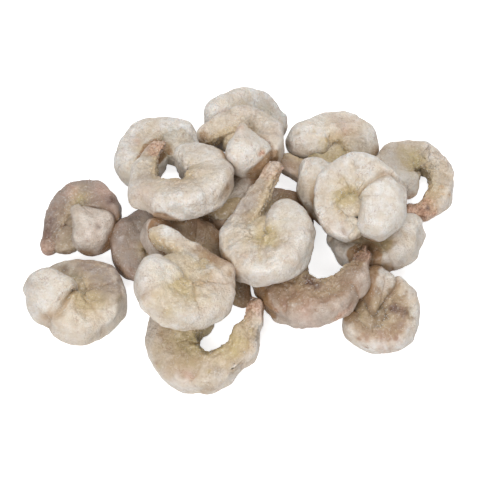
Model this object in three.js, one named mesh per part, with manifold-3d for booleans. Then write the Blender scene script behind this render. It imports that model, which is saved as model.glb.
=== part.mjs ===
// A loose heap of raw, peeled, frozen shrimps, lying as they were tipped out on a flat surface.
// Each shrimp is one solid: a tapering body of six segments, curled towards its belly, blunt where the
// head was cut off and narrow at the tail. Millimetres, +Z up. The origin is under the middle of the
// heap, on the surface it lies on. +X is to the right, and +Y away from the heap's front.

import * as THREE from "three";
import { mergeVertices } from "three/addons/utils/BufferGeometryUtils.js";
import Module from "manifold-3d";

const BODY_HEIGHT = 22.5; // back to belly, behind the head cut
const BODY_WIDTH = 17; // side to side, behind the head cut
const BACK_SHARE = 0.52; // how much of the height is on the back's side of the middle line
const TAIL_TAPER = 0.6; // how much of the thickness is gone at the tail
const MID_THICKNESS = 0.8; // the thickness halfway, as a share of that behind the head cut
const SEGMENTS = 6;
const GLAZE_WAVE = 0.4; // height of the slow waves in the ice glaze
const GAP = 0.35; // between neighbours that touch
const FLAT_SPOT = 0.7; // how deep a rounded underside is flattened where a shrimp lies on the surface
const LINE_STEPS = 96; // equal steps that the middle line is added up in
const RINGS = 24;
const SIDES = 12;
const SETTLE_STEPS = [6, 3, 1.5]; // degrees by which a shrimp is tipped while it settles
const SETTLE_LIMIT = 15; // degrees that it may tip in all
const RAISE_STEP = 0.3; // by which a shrimp is raised while an edge of it still runs into a neighbour

// The shrimps, in the order in which they come to lie on each other. Their numbers run from the left,
// but for the last, which lies under the middle.
// at: the middle of the curl, seen from above.
// across: how wide the curl is.
// head: the direction from the middle of the curl to the head cut.
// turn: how far the body would bend round if it bent evenly, plus for anticlockwise.
// headBend, tailBend: how much of that bend the two ends have.
// tailFrom: how far along the body the tail's own bend begins.
// headUp, tailUp: how far the ends are lifted out of the plane of the curl.
// lean: how many degrees the curl is tipped, and the side that goes down.
// girth: how stout the body is. swell: how plainly its segments show.
// bare: true where the frost is thin and the brownish flesh shows.
const SHRIMPS = [
  { name: "shrimp_01", at: [-81, 19.5], across: 38.5, head: 268, turn: 418, girth: 1.1,
    headBend: 0.8, tailBend: 0.1, headUp: 5, bare: true },
  { name: "shrimp_02", at: [-79, -28], across: 46, head: 150, turn: 440, girth: 1.15,
    headBend: 1.1, tailBend: 0.4, headUp: 9, tailUp: -2 },
  { name: "shrimp_03", at: [-45, -1], across: 40, head: 40, turn: 330, girth: 1.05, bare: true },
  { name: "shrimp_05", at: [-38.5, 55], across: 47, head: 235, turn: -290, girth: 1.1, tailBend: 0.8 },
  { name: "shrimp_07", at: [5, 73], across: 43, head: 220, turn: -310, girth: 1.1 },
  { name: "shrimp_16", at: [46.5, 57], across: 44, head: 168, turn: -440, girth: 1.05, tailBend: 0.35 },
  { name: "shrimp_15", at: [64, 10], across: 49, head: 5, turn: -280, girth: 1.1 },
  { name: "shrimp_18", at: [88, 41], across: 43, head: 210, turn: -408, girth: 1.05,
    headBend: 0.35, tailBend: 0.65, headUp: 6, tailUp: -3, swell: 0.12 },
  { name: "shrimp_14", at: [66, -38], across: 42, head: 115, turn: -335, girth: 1.1 },
  { name: "shrimp_13", at: [36.5, -20], across: 58, head: 172, turn: 255, girth: 1.3,
    tailBend: 0.5, bare: true },
  { name: "shrimp_11", at: [-17, -53], across: 57, head: 107, turn: 360, girth: 1.3, tailBend: 0.5 },
  { name: "shrimp_12", at: [14, 16], across: 43, head: 233, turn: 330, girth: 1.1,
    tailBend: 0.1, bare: true },
  { name: "shrimp_20", at: [-10, 25], across: 42, head: 20, turn: 330, girth: 1, bare: true },
  { name: "shrimp_19", at: [52.5, 28.5], across: 48, head: 145, turn: 290, girth: 1.1 },
  { name: "shrimp_04", at: [-27, -30], across: 76, head: 125, turn: -140, girth: 1.1,
    lean: [10, 0], bare: true },
  { name: "shrimp_08", at: [0, 53], across: 40, head: 240, turn: 370, girth: 1.15,
    headBend: 0.9, tailBend: 0.2, headUp: 11 },
  { name: "shrimp_06", at: [-31, 24], across: 51, head: 120, turn: -396, girth: 1.1,
    headBend: 1.7, tailBend: 0.28, lean: [36, 90] },
  { name: "shrimp_09", at: [-26, -37], across: 46, head: 130, turn: 435, girth: 1.15,
    headBend: 1.1, tailBend: 0.05, lean: [15, 90] },
  { name: "shrimp_17", at: [54.5, 11], across: 46, head: 255, turn: 354, girth: 1.2,
    headBend: 1.8, tailBend: 0.8 },
  { name: "shrimp_10", at: [10.5, -10], across: 46, head: 80, turn: -494, girth: 1.15,
    headBend: 1, tailBend: 0.02, tailFrom: 0.45, tailUp: 6 },
];

const DEFAULTS = {
  lean: [0, 0],
  headBend: 0.55,
  tailBend: 1,
  tailFrom: 0.5,
  headUp: 0,
  tailUp: 0,
  girth: 1,
  swell: 0.06,
  bare: false,
};
const FROSTED_FLESH = new THREE.MeshStandardMaterial({ color: 0xcfc2b0, roughness: 0.6, metalness: 0 });
const BARE_FLESH = new THREE.MeshStandardMaterial({ color: 0xab927a, roughness: 0.5, metalness: 0 });

const radians = THREE.MathUtils.degToRad;
const ease = THREE.MathUtils.smoothstep;

// The middle line, added up from the head cut to the tail: its points, the way it heads and its radius.
function middleLine(shrimp) {
  const side = Math.sign(shrimp.turn);
  const back = BACK_SHARE * BODY_HEIGHT * MID_THICKNESS * shrimp.girth;
  const radius = shrimp.across / 2 - back;
  const step = (radius * radians(Math.abs(shrimp.turn))) / LINE_STEPS;
  const line = [];
  let x = 0;
  let y = 0;
  let heading = radians(shrimp.head + 90 * side);
  for (let i = 0; i <= LINE_STEPS; i++) {
    const s = i / LINE_STEPS;
    const z = shrimp.headUp * (1 - ease(s, 0, 0.4)) + shrimp.tailUp * ease(s, 0.6, 1);
    const headPart = 1 - (1 - shrimp.headBend) * (1 - ease(s, 0.05, 0.25));
    const tailPart = 1 - (1 - shrimp.tailBend) * ease(s, shrimp.tailFrom, shrimp.tailFrom + 0.25);
    const bend = headPart * tailPart;
    line.push({ s, x, y, z, heading, radius: radius / Math.max(bend, 0.05) });
    x += step * Math.cos(heading);
    y += step * Math.sin(heading);
    heading += (side * bend * step) / radius;
  }
  // The middle of the curl is the centre of the bend at two fifths of the body.
  const mid = line[Math.round(0.4 * LINE_STEPS)];
  const centreX = mid.x - side * radius * Math.sin(mid.heading);
  const centreY = mid.y + side * radius * Math.cos(mid.heading);
  line.forEach((p) => {
    p.x -= centreX;
    p.y -= centreY;
  });
  return line;
}

// How thick the body is at s, as a share of that behind the head cut: blunt at the cut, tapering to the
// tail, with both ends rounded off.
function thickness(s) {
  const taper = 1 - TAIL_TAPER * ease(s, 0.08, 1.05);
  const headCap = (1 - (1 - Math.min(1, s / 0.11)) ** 2.4) ** (1 / 2.4);
  const tailCap = (1 - (1 - Math.min(1, (1 - s) / 0.06)) ** 2) ** 0.5;
  return taper * headCap * tailCap;
}

// A point of the skin, v round the body: 0 on the back and 180 degrees on the belly.
function skinPoint(shrimp, at, v, phase) {
  const { s, x, y, z, heading, radius } = at;
  const side = Math.sign(shrimp.turn);
  const share = thickness(s) * shrimp.girth;
  const joint = Math.abs(Math.sin(Math.PI * SEGMENTS * s)) - 0.64;
  const swell = 1 + shrimp.swell * joint * (0.6 + 0.4 * Math.cos(v));
  const wave =
    0.5 * Math.sin(15 * s + 2 * v + phase) +
    0.3 * Math.sin(23 * s - 3 * v + 1.7 * phase) +
    0.4 * Math.sin(9 * s + v + 2.3 * phase);
  const glaze = GLAZE_WAVE * wave * Math.min(1, 1.5 * share);
  const back = BACK_SHARE * BODY_HEIGHT * share * swell + glaze;
  const belly = Math.min((1 - BACK_SHARE) * BODY_HEIGHT * share, 0.85 * radius);
  const half = (BODY_WIDTH / 2) * share * swell + glaze;
  const out = Math.cos(v) * (Math.cos(v) > 0 ? back : belly);
  const across = Math.sin(v) * (1 + 0.08 * Math.cos(v)) * half;
  return new THREE.Vector3(
    x + side * Math.sin(heading) * out,
    y - side * Math.cos(heading) * out,
    z + side * across,
  );
}

// The skin as rings of points from end to end, closed by a point at each end.
function skin(shrimp, phase) {
  const line = middleLine(shrimp);
  const first = line[0];
  const last = line[LINE_STEPS];
  const points = [new THREE.Vector3(first.x, first.y, first.z)];
  for (let ring = 0; ring < RINGS; ring++) {
    const at = line[Math.round(((ring + 0.5) * LINE_STEPS) / RINGS)];
    for (let k = 0; k < SIDES; k++) points.push(skinPoint(shrimp, at, (2 * Math.PI * k) / SIDES, phase));
  }
  points.push(new THREE.Vector3(last.x, last.y, last.z));
  return points;
}

// The triangles between the rings of a skin, facing out.
function skinFaces() {
  const faces = [];
  const at = (ring, k) => 1 + ring * SIDES + (k % SIDES);
  const tip = 1 + RINGS * SIDES;
  for (let k = 0; k < SIDES; k++) {
    faces.push([0, at(0, k), at(0, k + 1)]);
    for (let ring = 0; ring < RINGS - 1; ring++) {
      faces.push([at(ring, k), at(ring + 1, k + 1), at(ring, k + 1)]);
      faces.push([at(ring, k), at(ring + 1, k), at(ring + 1, k + 1)]);
    }
    faces.push([tip, at(RINGS - 1, k + 1), at(RINGS - 1, k)]);
  }
  return faces;
}

// The smallest upright distance between points and the faces above or below them.
function uprightGap(points, corners, faces, sign) {
  let least = Infinity;
  for (const [i, j, k] of faces) {
    const a = corners[i];
    const b = corners[j];
    const c = corners[k];
    const area = (b.x - a.x) * (c.y - a.y) - (b.y - a.y) * (c.x - a.x);
    if (Math.abs(area) < 1e-9) continue;
    const low = Math.min(a.x, b.x, c.x);
    const high = Math.max(a.x, b.x, c.x);
    for (const p of points) {
      if (p.x < low || p.x > high) continue;
      const u = ((p.x - a.x) * (c.y - a.y) - (p.y - a.y) * (c.x - a.x)) / area;
      const w = ((b.x - a.x) * (p.y - a.y) - (b.y - a.y) * (p.x - a.x)) / area;
      if (u < 0 || w < 0 || u + w > 1) continue;
      least = Math.min(least, sign * (p.z - (a.z + u * (b.z - a.z) + w * (c.z - a.z))));
    }
  }
  return least;
}

// How far a shrimp held above the others can be let down until it lies on them or on the surface.
function letDown(points, faces, placed) {
  const box = new THREE.Box3().setFromPoints(points);
  let drop = box.min.z + FLAT_SPOT;
  for (const other of placed) {
    const apart = other.box.min.x > box.max.x || other.box.max.x < box.min.x;
    if (apart || other.box.min.y > box.max.y || other.box.max.y < box.min.y) continue;
    const above = uprightGap(points, other.points, faces, 1);
    const below = uprightGap(other.points, points, faces, -1);
    drop = Math.min(drop, above - GAP, below - GAP);
  }
  return drop;
}

// The points of a skin turned by a tip (a vector in the plane, degrees) and held over its place.
function held(points, tip, at) {
  const axis = new THREE.Vector3(-tip.y, tip.x, 0).normalize();
  const place = new THREE.Vector3(at[0], at[1], 200);
  return points.map((p) => p.clone().applyAxisAngle(axis, radians(tip.length())).add(place));
}

// Lets a shrimp down and tips it a little at a time, for as long as that brings it lower.
function settle(shrimp, points, faces, placed) {
  const [lean, towards] = shrimp.lean;
  const asked = new THREE.Vector2(lean * Math.cos(radians(towards)), lean * Math.sin(radians(towards)));
  const lay = (tip) => {
    const raised = held(points, tip, shrimp.at);
    return { tip, raised, drop: letDown(raised, faces, placed) };
  };
  let best = lay(asked);
  for (const step of SETTLE_STEPS) {
    for (let moved = true; moved; ) {
      moved = false;
      for (const [dx, dy] of [[step, 0], [-step, 0], [0, step], [0, -step]]) {
        const tip = new THREE.Vector2(best.tip.x + dx, best.tip.y + dy);
        if (tip.distanceTo(asked) > SETTLE_LIMIT) continue;
        const trial = lay(tip);
        if (trial.drop > best.drop + 0.02) {
          best = trial;
          moved = true;
        }
      }
    }
  }
  best.raised.forEach((p) => (p.z -= best.drop));
  return best.raised;
}

const wasm = await Module();
wasm.setup();

function solidOf(geometry) {
  const bare = geometry.clone().deleteAttribute("normal").deleteAttribute("uv");
  const merged = mergeVertices(bare, 1e-4);
  return new wasm.Manifold(
    new wasm.Mesh({
      numProp: 3,
      vertProperties: merged.attributes.position.array,
      triVerts: new Uint32Array(merged.index.array),
    }),
  );
}

function geometryOf(solid) {
  const mesh = solid.getMesh();
  const geometry = new THREE.BufferGeometry();
  geometry.setAttribute("position", new THREE.BufferAttribute(Float32Array.from(mesh.vertProperties), 3));
  geometry.setIndex(new THREE.BufferAttribute(Uint32Array.from(mesh.triVerts), 1));
  geometry.computeVertexNormals();
  return geometry;
}

function skinGeometry(points, faces) {
  const geometry = new THREE.BufferGeometry();
  geometry.setFromPoints(points);
  geometry.setIndex(faces.flat());
  return geometry;
}

// Raises a settled shrimp until no edge of it runs into its neighbours, and one step more for the gap.
function raiseClear(points, faces, placed) {
  const solid = solidOf(skinGeometry(points, faces));
  if (placed.every((other) => solid.intersect(other.solid).isEmpty())) return solid;
  points.forEach((p) => (p.z += RAISE_STEP));
  const raised = solid.translate([0, 0, RAISE_STEP]);
  if (placed.every((other) => raised.intersect(other.solid).isEmpty())) {
    points.forEach((p) => (p.z += RAISE_STEP));
    return raised.translate([0, 0, RAISE_STEP]);
  }
  return raiseClear(points, faces, placed);
}

// What is under the surface that the heap lies on: a slab that is cut away to leave the flat spots.
function underTheSurface() {
  const slab = new THREE.BoxGeometry(400, 400, 20);
  slab.translate(0, 0, -10);
  return solidOf(slab);
}

function makeHeap() {
  const faces = skinFaces();
  const slab = underTheSurface();
  const placed = [];
  SHRIMPS.forEach((row, i) => {
    const shrimp = { ...DEFAULTS, ...row };
    const points = settle(shrimp, skin(shrimp, 2.4 * (i + 1)), faces, placed);
    const solid = raiseClear(points, faces, placed);
    placed.push({ ...shrimp, points, solid, box: new THREE.Box3().setFromPoints(points) });
  });
  const heap = new THREE.Group();
  for (const { name, solid, bare } of placed) {
    const flesh = bare ? BARE_FLESH : FROSTED_FLESH;
    const mesh = new THREE.Mesh(geometryOf(solid.subtract(slab)), flesh.clone());
    mesh.name = name;
    heap.add(mesh);
  }
  return heap;
}

// The origin goes under the middle of the heap.
const heap = makeHeap();
const bounds = new THREE.Box3().setFromObject(heap);
heap.position.set(-(bounds.min.x + bounds.max.x) / 2, -(bounds.min.y + bounds.max.y) / 2, 0);

export default heap;
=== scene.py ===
# %% [markdown]
# # A loose heap of raw shrimps
#
# Twenty peeled, curled, frozen shrimps lie as they were tipped out. Each one is a tapering body of six
# segments, bent towards its belly, under a thin skin of ice and frost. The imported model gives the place
# and the size of every shrimp. Here each one is made again with a finer skin, and given its finish.

# %% Load the frame
import math
import bpy
import numpy as np
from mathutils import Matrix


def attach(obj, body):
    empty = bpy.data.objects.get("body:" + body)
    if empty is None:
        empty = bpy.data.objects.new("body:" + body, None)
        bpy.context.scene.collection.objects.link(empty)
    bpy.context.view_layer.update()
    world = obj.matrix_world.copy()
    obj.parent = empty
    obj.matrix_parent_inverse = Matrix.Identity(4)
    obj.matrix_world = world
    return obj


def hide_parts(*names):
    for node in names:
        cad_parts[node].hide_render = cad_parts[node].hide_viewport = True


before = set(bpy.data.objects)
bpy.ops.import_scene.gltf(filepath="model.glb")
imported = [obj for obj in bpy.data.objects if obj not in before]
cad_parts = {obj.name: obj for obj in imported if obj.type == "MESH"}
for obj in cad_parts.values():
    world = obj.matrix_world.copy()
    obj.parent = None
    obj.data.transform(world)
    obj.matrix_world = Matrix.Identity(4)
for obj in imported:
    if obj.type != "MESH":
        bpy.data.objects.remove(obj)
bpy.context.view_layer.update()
print("solids in the frame:", len(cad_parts))

# %% [markdown]
# ## The measures of a shrimp
#
# A shrimp's body is highest behind the cut where its head was, and tapers to the tail. These are the same
# measures, in millimetres, that the solids were made with, so that the fine skin lies on the solid.

# %% Measures, in millimetres
BODY_HEIGHT = 22.5  # back to belly, behind the head cut
BODY_WIDTH = 17  # side to side, behind the head cut
BACK_SHARE = 0.52  # how much of the height is on the back's side of the middle line
TAIL_TAPER = 0.6  # how much of the thickness is gone at the tail
MID_THICKNESS = 0.8
HEAD_CAP = 0.11  # share of the length that the rounding at the head cut takes
TAIL_CAP = 0.06  # and that at the tail
SEGMENTS = 6
GLAZE_WAVE = 0.4  # height of the slow waves in the ice glaze
LINE_STEPS = 96
RINGS = 24  # of the solid's skin
SIDES = 12  # of each ring
MM = 0.001  # metres

# %% [markdown]
# ## The twenty shrimps
#
# A row holds how one shrimp is curled: where the middle of its curl is, how wide it is, where its head
# cut points, how far it bends round, and how much of that bend its two ends have. The order is the one in
# which they came to lie on each other, and it also sets the phase of the waves in the glaze.

# %% Rows
USUAL = dict(lean=(0, 0), head_bend=0.55, tail_bend=1, tail_from=0.5, head_up=0, tail_up=0, swell=0.06)
SHRIMPS = {
    "01": dict(at=(-81, 19.5), across=38.5, head=268, turn=418, girth=1.1, head_bend=0.8, tail_bend=0.1,
               head_up=5),
    "02": dict(at=(-79, -28), across=46, head=150, turn=440, girth=1.15, head_bend=1.1, tail_bend=0.4,
               head_up=9, tail_up=-2),
    "03": dict(at=(-45, -1), across=40, head=40, turn=330, girth=1.05),
    "05": dict(at=(-38.5, 55), across=47, head=235, turn=-290, girth=1.1, tail_bend=0.8),
    "07": dict(at=(5, 73), across=43, head=220, turn=-310, girth=1.1),
    "16": dict(at=(46.5, 57), across=44, head=168, turn=-440, girth=1.05, tail_bend=0.35),
    "15": dict(at=(64, 10), across=49, head=5, turn=-280, girth=1.1),
    "18": dict(at=(88, 41), across=43, head=210, turn=-408, girth=1.05, head_bend=0.35, tail_bend=0.65,
               head_up=6, tail_up=-3, swell=0.12),
    "14": dict(at=(66, -38), across=42, head=115, turn=-335, girth=1.1),
    "13": dict(at=(36.5, -20), across=58, head=172, turn=255, girth=1.3, tail_bend=0.5),
    "11": dict(at=(-17, -53), across=57, head=107, turn=360, girth=1.3, tail_bend=0.5),
    "12": dict(at=(14, 16), across=43, head=233, turn=330, girth=1.1, tail_bend=0.1),
    "20": dict(at=(-10, 25), across=42, head=20, turn=330, girth=1),
    "19": dict(at=(52.5, 28.5), across=48, head=145, turn=290, girth=1.1),
    "04": dict(at=(-27, -30), across=76, head=125, turn=-140, girth=1.1, lean=(10, 0)),
    "08": dict(at=(0, 53), across=40, head=240, turn=370, girth=1.15, head_bend=0.9, tail_bend=0.2,
               head_up=11),
    "06": dict(at=(-31, 24), across=51, head=120, turn=-396, girth=1.1, head_bend=1.7, tail_bend=0.28,
               lean=(36, 90)),
    "09": dict(at=(-26, -37), across=46, head=130, turn=435, girth=1.15, head_bend=1.1, tail_bend=0.05,
               lean=(15, 90)),
    "17": dict(at=(54.5, 11), across=46, head=255, turn=354, girth=1.2, head_bend=1.8, tail_bend=0.8),
    "10": dict(at=(10.5, -10), across=46, head=80, turn=-494, girth=1.15, head_bend=1, tail_bend=0.02,
               tail_from=0.45, tail_up=6),
}
for order, (number, row) in enumerate(SHRIMPS.items()):
    SHRIMPS[number] = {**USUAL, **row, "phase": 2.4 * (order + 1), "seed": 10 + order}
print("shrimps:", len(SHRIMPS))

# %% [markdown]
# ## The middle line
#
# The body follows a line that bends towards the belly. It is added up from equal steps, each a little
# more turned than the last. Its two ends bend more or less than the middle. Adding up is a cumulative sum.


# %% The middle line of a curl
def ease(x, low, high):
    """0 up to low, 1 from high on, and a smooth S between: 3 t squared minus 2 t cubed."""
    t = np.clip((x - low) / (high - low), 0, 1)
    return t * t * (3 - 2 * t)


def middle_line(row):
    """Arrays along the body, head cut to tail: s, x, y, z, the heading, and the radius of the bend. The
    heading is the sum of the bends of the steps before, and x and y are sums of its cosine and sine."""
    side = np.sign(row["turn"])
    radius = row["across"] / 2 - BACK_SHARE * BODY_HEIGHT * MID_THICKNESS * row["girth"]
    step = radius * math.radians(abs(row["turn"])) / LINE_STEPS
    s = np.arange(LINE_STEPS + 1) / LINE_STEPS
    head_part = 1 - (1 - row["head_bend"]) * (1 - ease(s, 0.05, 0.25))
    tail_part = 1 - (1 - row["tail_bend"]) * ease(s, row["tail_from"], row["tail_from"] + 0.25)
    bend = head_part * tail_part
    before = lambda steps: np.concatenate([[0], np.cumsum(steps)[:-1]])
    heading = math.radians(row["head"] + 90 * side) + before(side * bend * step / radius)
    x, y = before(step * np.cos(heading)), before(step * np.sin(heading))
    z = row["head_up"] * (1 - ease(s, 0, 0.4)) + row["tail_up"] * ease(s, 0.6, 1)
    mid = round(0.4 * LINE_STEPS)
    x = x - x[mid] + side * radius * np.sin(heading[mid])
    y = y - y[mid] - side * radius * np.cos(heading[mid])
    return dict(s=s, x=x, y=y, z=z, heading=heading, radius=radius / np.maximum(bend, 0.05))


# %% [markdown]
# ## The skin round the line
#
# Round the line lies a ring: a half ellipse for the back and a flatter one for the belly. The ring
# shrinks to the tail, closes at both ends, swells a little between the joints and carries slow waves of
# ice. The same formula gives the coarse skin of the solid and the fine skin of the piece.


# %% The skin as a function of two parameters
def thickness(s, blunt=2.4):
    """A taper to the tail, times a blunt rounding at the head cut and a rounder one at the tail."""
    taper = 1 - TAIL_TAPER * ease(s, 0.08, 1.05)
    head_cap = (1 - (1 - np.minimum(1, s / HEAD_CAP)) ** blunt) ** (1 / blunt)
    tail_cap = (1 - (1 - np.minimum(1, (1 - s) / TAIL_CAP)) ** 2) ** 0.5
    return taper * head_cap * tail_cap


def skin(row, s, v, full=0.0, blunt=2.4):
    """The point at s along the body and v round it (0 the back, pi the belly): the middle line's point,
    plus cos v times the half height away from the curl's centre and sin v times the half width across.
    full makes the ring squarer, by raising cos v and sin v to a lower power, and blunt the head cut."""
    at = {key: np.interp(s, row["line"]["s"], values) for key, values in row["line"].items()}
    side = np.sign(row["turn"])
    share = thickness(s, blunt) * row["girth"]
    joint = np.abs(np.sin(np.pi * SEGMENTS * s)) - 0.64
    swell = 1 + row["swell"] * joint * (0.6 + 0.4 * np.cos(v))
    phase = row["phase"]
    wave = (0.5 * np.sin(15 * s + 2 * v + phase) + 0.3 * np.sin(23 * s - 3 * v + 1.7 * phase)
            + 0.4 * np.sin(9 * s + v + 2.3 * phase))
    glaze = GLAZE_WAVE * wave * np.minimum(1, 1.5 * share)
    back = BACK_SHARE * BODY_HEIGHT * share * swell + glaze
    belly = np.minimum((1 - BACK_SHARE) * BODY_HEIGHT * share, 0.85 * at["radius"])
    half = BODY_WIDTH / 2 * share * swell + glaze
    squared = lambda c: np.sign(c) * np.abs(c) ** (1 - full)
    out = squared(np.cos(v)) * np.where(np.cos(v) > 0, back, belly)
    across = squared(np.sin(v)) * (1 + 0.08 * np.cos(v)) * half
    return np.stack([at["x"] + side * np.sin(at["heading"]) * out,
                     at["y"] - side * np.cos(at["heading"]) * out,
                     at["z"] + side * across], axis=-1)


# %% [markdown]
# ## How each shrimp lies
#
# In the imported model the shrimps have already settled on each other. Where one lies is read back from
# its solid: the coarse skin is laid on the solid's corners, each corner takes the nearest skin point, and
# the turn and shift that fit these pairs best come from a singular value decomposition. Forty rounds of
# this bring the two together. The corners at the height of the floor are left out, because they are cut.


# %% Read the place of a shrimp from its solid
TIPS = [(0, 0), (8, 0), (-8, 0), (0, 8), (0, -8)]  # degrees to add to the lean, to start the fit from
ROUNDS = 40
FLOOR_CUT = 0.05  # millimetres


def tipped(degrees, towards):
    """The turn that tips a curl by degrees, so that the side at the angle towards goes down: one, plus the
    sine times the cross product with the axis, plus one less the cosine times that product taken twice."""
    a, t = math.radians(degrees), math.radians(towards)
    axis = np.array([-math.sin(t), math.cos(t), 0])
    cross = np.cross(np.eye(3), axis)
    return np.eye(3) + math.sin(a) * cross + (1 - math.cos(a)) * cross @ cross


def fit_pairs(model, target):
    """The turn and shift that bring model nearest to target, point by point: the turn comes from the
    singular vectors of the sum of their products, each taken from its own mean."""
    a, b = model.mean(0), target.mean(0)
    u, _, vt = np.linalg.svd((model - a).T @ (target - b))
    turn = vt.T @ np.diag([1, 1, np.sign(np.linalg.det(vt.T @ u.T))]) @ u.T
    return turn, b - turn @ a


def place_of(number, row):
    """Turn and shift of the solid, in millimetres, and how far its corners then are from the skin. Each
    round fits the nearer three quarters of the pairs, and the best of all starts is kept."""
    rings = (np.arange(RINGS) * 4 + 2) / LINE_STEPS
    v = 2 * np.pi * np.arange(SIDES) / SIDES
    coarse = skin(row, rings[:, None], v[None, :]).reshape(-1, 3)
    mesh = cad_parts["shrimp_" + number].data
    co = np.empty(len(mesh.vertices) * 3, np.float32)
    mesh.vertices.foreach_get("co", co)
    corners = np.unique(np.round(co.reshape(-1, 3) / MM, 3), axis=0)
    corners = corners[corners[:, 2] > FLOOR_CUT]
    best = None
    for dx, dy in TIPS:
        lean, towards = row["lean"]
        tip_x = lean * math.cos(math.radians(towards)) + dx
        tip_y = lean * math.sin(math.radians(towards)) + dy
        turn = tipped(math.hypot(tip_x, tip_y), math.degrees(math.atan2(tip_y, tip_x)))
        laid = coarse @ turn.T
        shift = (corners.max(0) + corners.min(0) - laid.max(0) - laid.min(0)) / 2
        shift[2] = corners[:, 2].max() - laid[:, 2].max()
        for _ in range(ROUNDS):
            laid = coarse @ turn.T + shift
            apart = np.linalg.norm(corners[:, None] - laid[None], axis=2)
            nearest, far = apart.argmin(1), apart.min(1)
            kept = far <= max(np.quantile(far, 0.75), 0.01)
            turn, shift = fit_pairs(coarse[nearest[kept]], corners[kept])
        left = float(np.quantile(far, 0.9))
        if best is None or left < best[2]:
            best = (turn, shift, left)
    return best


places = {}
for number, row in SHRIMPS.items():
    row["line"] = middle_line(row)
    places[number] = place_of(number, row)
    print(number, "lies within", round(places[number][2], 3), "mm of its solid")

# %% [markdown]
# ## The camera
#
# The photograph looks down on the heap from the front at about sixty degrees, through a long lens. The
# camera comes first, because marks and bumps of the shrimps are put where the photograph shows them.

# %% Camera
DISTANCE = 1.2  # metres
LENS = 183.5  # millimetres
SENSOR = 36  # millimetres
PICTURE = 480  # pixels
TARGET = np.array([-0.0013, -0.0084, 0.019])
ELEVATION = math.radians(60)


def add_object(name, data):
    """A new object of that data, linked to the scene."""
    made = bpy.data.objects.new(name, data)
    bpy.context.scene.collection.objects.link(made)
    return made


back_way = np.array([0, -math.cos(ELEVATION), math.sin(ELEVATION)])
eye = TARGET + DISTANCE * back_way
camera_data = bpy.data.cameras.new("camera")
camera_data.lens = LENS
camera_data.sensor_width = SENSOR
camera_data.clip_end = 20
camera = add_object("camera", camera_data)
camera.location = eye
camera.rotation_euler = (math.pi / 2 - ELEVATION, 0, 0)
bpy.context.scene.camera = camera
print("camera at", np.round(eye, 3))


def in_picture(points):
    """Where points, in metres, come in the square picture, and how far they are: what is to the right
    or up, times the lens over the sensor, over the distance."""
    right, up = np.array([1, 0, 0]), np.array([0, math.sin(ELEVATION), math.cos(ELEVATION)])
    away = points - eye
    depth = -away @ back_way
    scale = LENS / SENSOR * PICTURE / depth
    return PICTURE / 2 + away @ right * scale, PICTURE / 2 - away @ up * scale, depth


# %% [markdown]
# ## Random heights
#
# Ice, frost and flesh are uneven at many sizes. A smooth random height is made from a lattice of cubes:
# each corner has a random value, and a point takes the blend of the eight corners round it. It is the
# same for every point in space, so it has no seam where a ring closes.


# %% Smooth random heights
CUBES = 24  # of the lattice along each axis, after which it repeats


def blended(values, places, inside, curve):
    """Each place takes the values at the eight corners of its cube, times its share of the way to each
    corner along the axes. inside brings corners back into the lattice, curve bends the shares."""
    low = np.floor(places).astype(int)
    share = curve(places - low)
    total = 0
    for corner in np.ndindex(2, 2, 2):
        i, j, k = inside(low + corner).transpose(-1, *range(low.ndim - 1))
        total = total + values[i, j, k] * np.prod(np.where(np.array(corner) == 1, share, 1 - share), axis=-1)
    return total


def heights(points, size, seed):
    """Random values at the corners of cubes of that size, blended with an S curve in between: -1 to 1."""
    lattice = np.random.default_rng(seed).uniform(-1, 1, (CUBES, CUBES, CUBES))
    return blended(lattice, points / size, lambda at: at % CUBES, lambda f: f * f * (3 - 2 * f))


def layered(points, size, seed, layers=3):
    """Heights at a size, plus half as high ones at half the size, and so on."""
    return sum(heights(points, size / 2**n, seed + 97 * n) / 2**n for n in range(layers)) / 1.6


# %% [markdown]
# ## A grid that is fine where it is needed
#
# The rings stand close at the two rounded ends, where the skin turns quickly, and evenly between. The
# glaze makes a body's section squarer than an ellipse, so the points of a ring are set at even angles of
# that squarer shape. A shrimp gets about thirty thousand faces, of half a millimetre each.

# %% The grid
AROUND = 144
head = HEAD_CAP * np.linspace(0, 1, 36)[1:] ** 2.2
body = np.linspace(HEAD_CAP, 1 - TAIL_CAP, 166)[1:-1]
tip = 1 - TAIL_CAP * np.linspace(1, 0, 20)[:-1] ** 2
ALONG = np.concatenate([head, body, tip])
SQUARE = 0.34
even = 2 * np.pi * np.arange(AROUND) / AROUND
power = lambda c: np.sign(c) * np.abs(c) ** (1 / (1 - SQUARE))
V = np.arctan2(power(np.sin(even)), power(np.cos(even))) % (2 * np.pi)
print("rings:", len(ALONG), "points in each:", AROUND)


def bump(x, middle, width):
    """A soft bump: 1 at the middle, and falling off as e to the minus square."""
    return np.exp(-(((x - middle) / width) ** 2))


# %% [markdown]
# ## The fine skin
#
# On a peeled shrimp the joints show as shallow creases that run from the back down to the belly. The
# belly has a groove with soft flaps on both sides, where the legs were. Over it all lies frozen glaze:
# slow lumps, a crust of frost with soft edges, and grains. Each is a height along the outward normal,
# and the heights are simply added. The first segment behind the head cut often stands out as a smooth,
# pale lobe with a fold behind it: a dome and a narrow dent. The same fields are kept as masks, and colour
# the skin later.


# %% The fine skin of one shrimp
def outward(grid):
    """Unit normals of a grid of rings: the way along the body crossed with the way round it."""
    along = np.gradient(grid, axis=0)
    around = np.roll(grid, -1, axis=1) - np.roll(grid, 1, axis=1)
    normal = np.cross(along, around)
    return normal / np.maximum(np.linalg.norm(normal, axis=2, keepdims=True), 1e-9)


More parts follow.
